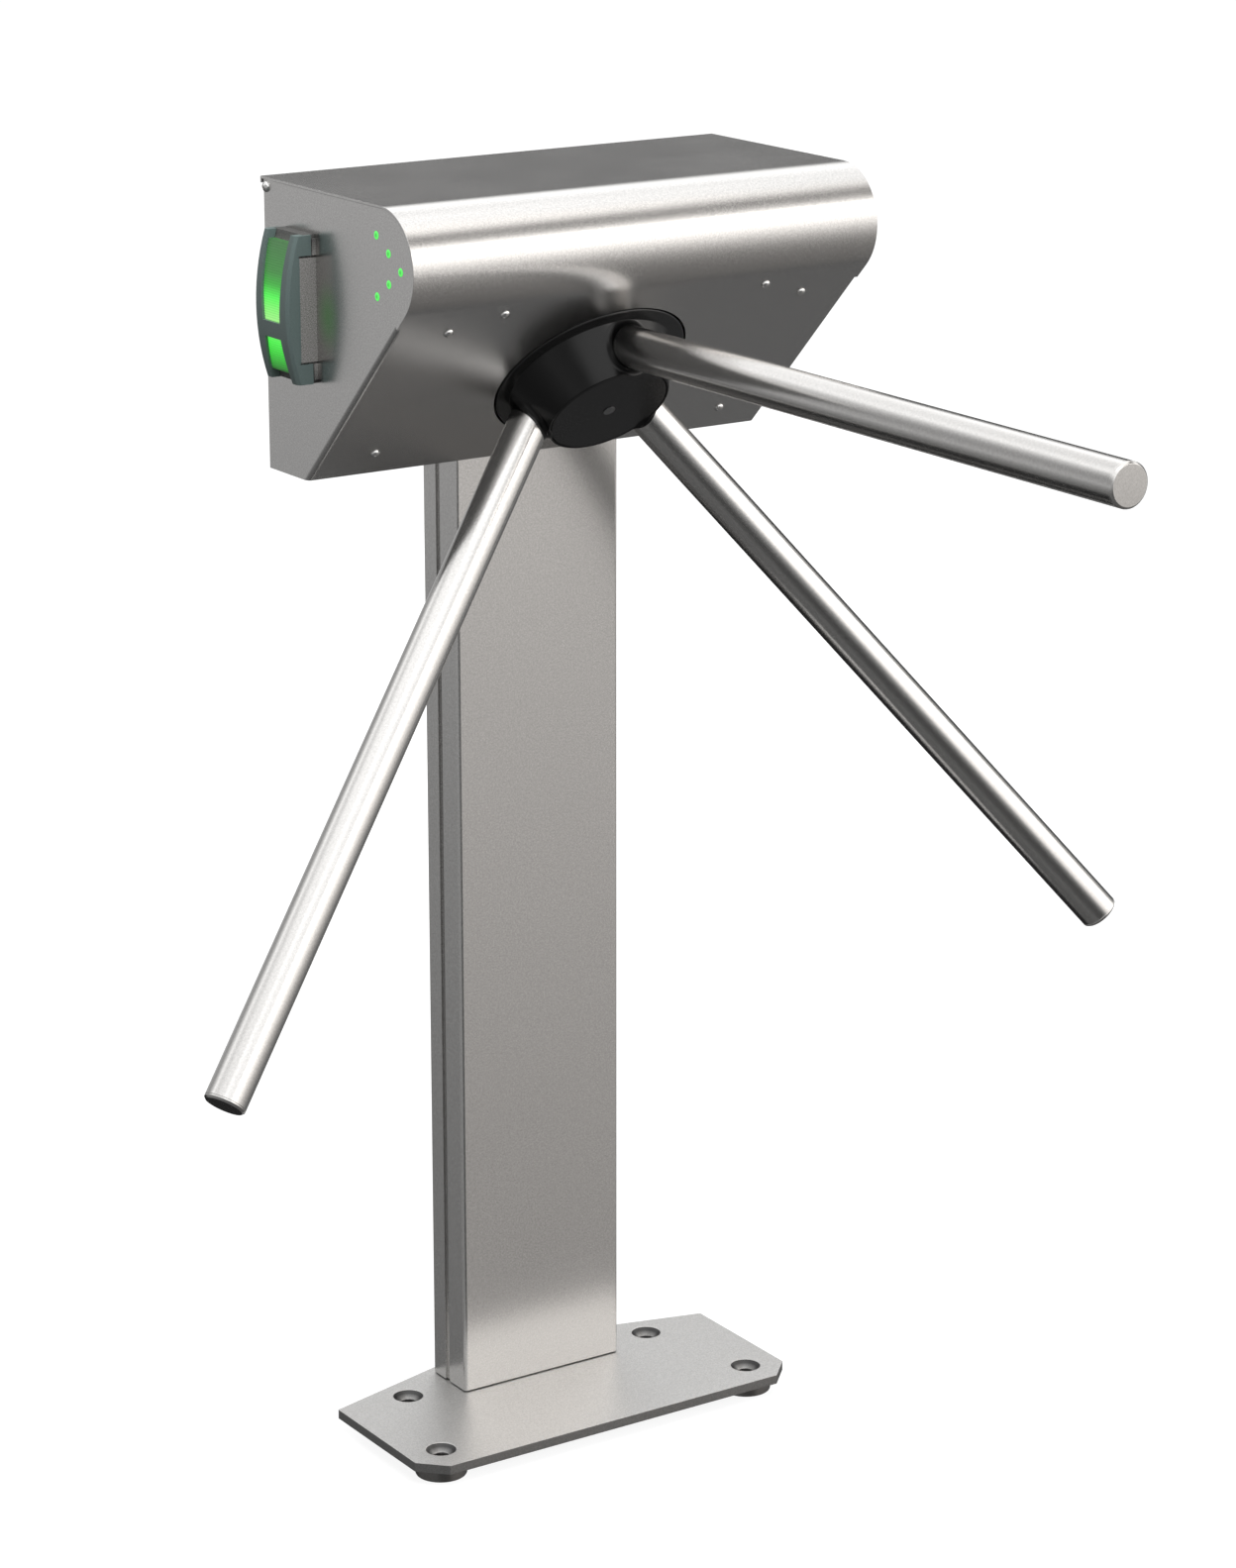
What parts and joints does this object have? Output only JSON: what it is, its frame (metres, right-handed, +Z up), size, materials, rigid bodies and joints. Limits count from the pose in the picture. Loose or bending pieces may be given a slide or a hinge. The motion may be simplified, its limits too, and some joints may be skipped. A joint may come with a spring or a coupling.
{
  "type": "tripod turnstile",
  "caption": "Floor-standing tripod turnstile: slanted steel head on a slim post, turning black hub with straight tube arms, green indicators, solenoid locks and a motor drive.",
  "frame": {"origin": "on the floor under the middle of the post, at the centre of the cable entry", "axes": "+Z up; the passage and the level arm are towards -Y; +X is along the head, to the right for someone who faces its front"},
  "size_m": [0.8334, 0.7707, 1.0217],
  "materials": {
    "satin_steel": "satin stainless sheet with a fine grain",
    "base_steel": "satin stainless plate",
    "foot_metal": "dull turned steel",
    "screw_steel": "bright fasteners",
    "mechanism_steel": "zinc plated steel",
    "carrier_alloy": "cast alloy, machined faces",
    "bush_bronze": "sintered bronze",
    "lock_chrome": "polished lock",
    "hub_black": "gloss black coat on cast alloy",
    "cap_black": "gloss black",
    "motor_black": "black painted motor can",
    "coil_tape": "wound coil under tape",
    "black_plastic": "black moulded plastic",
    "board_green": "circuit board",
    "light_green": "lit green light guide",
    "indicator_grey": "grey textured plastic",
    "bezel_teal": "grey-green moulded bezel"
  },
  "bodies": {
    "stand": {"post_channel": "satin_steel", "post_cover": "satin_steel", "housing_shell": "satin_steel", "bottom_plate": "satin_steel", "base_plate": "base_steel", "base_feet": "foot_metal", "panel_screws": "screw_steel", "cover_pivots": "screw_steel", "head_bolts": "screw_steel", "foot_screws": "screw_steel", "carrier_screws": "screw_steel", "pillar_screws": "screw_steel", "motor_screws": "screw_steel", "post_foot": "mechanism_steel", "post_head": "mechanism_steel", "lock_keeper": "mechanism_steel", "chassis_plate": "mechanism_steel", "chassis_spacers": "mechanism_steel", "mechanism_plate": "mechanism_steel", "mechanism_pillars": "mechanism_steel", "bolt_guides": "mechanism_steel", "solenoid_frames": "mechanism_steel", "board_standoffs": "mechanism_steel", "bearing_carrier": "carrier_alloy", "shaft_bushes": "bush_bronze", "drive_motor": "motor_black", "solenoid_coils": "coil_tape", "cable_bush": "black_plastic", "position_sensor": "black_plastic", "control_board": "board_green", "arrow_boards": "board_green", "indicator_boards": "board_green", "arrow_lights": "light_green", "indicator_upper_windows": "light_green", "indicator_lower_windows": "light_green", "indicator_bases": "indicator_grey", "indicator_bezels": "bezel_teal"},
    "rotor": {"hub_body": "hub_black", "hub_cap": "cap_black", "hub_cap_screw": "cap_black", "arm_level": "satin_steel", "arm_left": "satin_steel", "arm_right": "satin_steel", "arm_caps": "satin_steel", "arm_bolts": "screw_steel", "rotor_shaft": "mechanism_steel", "hub_bolts": "screw_steel", "lock_disc": "mechanism_steel", "lock_lugs": "mechanism_steel", "rotor_gear": "mechanism_steel", "encoder_disc": "black_plastic", "shaft_nut": "screw_steel"},
    "drive": {"motor_pinion": "mechanism_steel"},
    "left_bolt": {"lock_bolt_left": "mechanism_steel"},
    "right_bolt": {"lock_bolt_right": "mechanism_steel"},
    "service_cover": {"rear_cover": "satin_steel", "cover_lock_body": "lock_chrome"},
    "key_plug": {"cover_lock_plug": "lock_chrome"}
  },
  "joints": [
    {"name": "rotor_turn", "type": "hinge", "parent": "stand", "child": "rotor", "pos_m": [0, -0.09978, 0.87298], "axis": [0, -0.7071, -0.7071], "continuous": true},
    {"name": "drive_spin", "type": "hinge", "parent": "stand", "child": "drive", "pos_m": [0, -0.14786, 0.92106], "axis": [0, -0.7071, -0.7071], "continuous": true},
    {"name": "left_bolt_slide", "type": "slide", "parent": "stand", "child": "left_bolt", "axis": [1, 0, 0], "range_m": [0, 0.01], "stiffness_N_per_m": 200},
    {"name": "right_bolt_slide", "type": "slide", "parent": "stand", "child": "right_bolt", "axis": [-1, 0, 0], "range_m": [0, 0.01], "stiffness_N_per_m": 200},
    {"name": "cover_hinge", "type": "hinge", "parent": "stand", "child": "service_cover", "pos_m": [0, 0.028, 1.01456], "axis": [1, 0, 0], "range_deg": [0, 80]},
    {"name": "key_turn", "type": "hinge", "parent": "service_cover", "child": "key_plug", "pos_m": [0, 0.028, 0.8358], "axis": [0, 1, 0], "range_deg": [0, 90]}
  ],
  "couplings": [
    {"joint": "drive_spin", "follows": "rotor_turn", "ratio": -3}
  ]
}
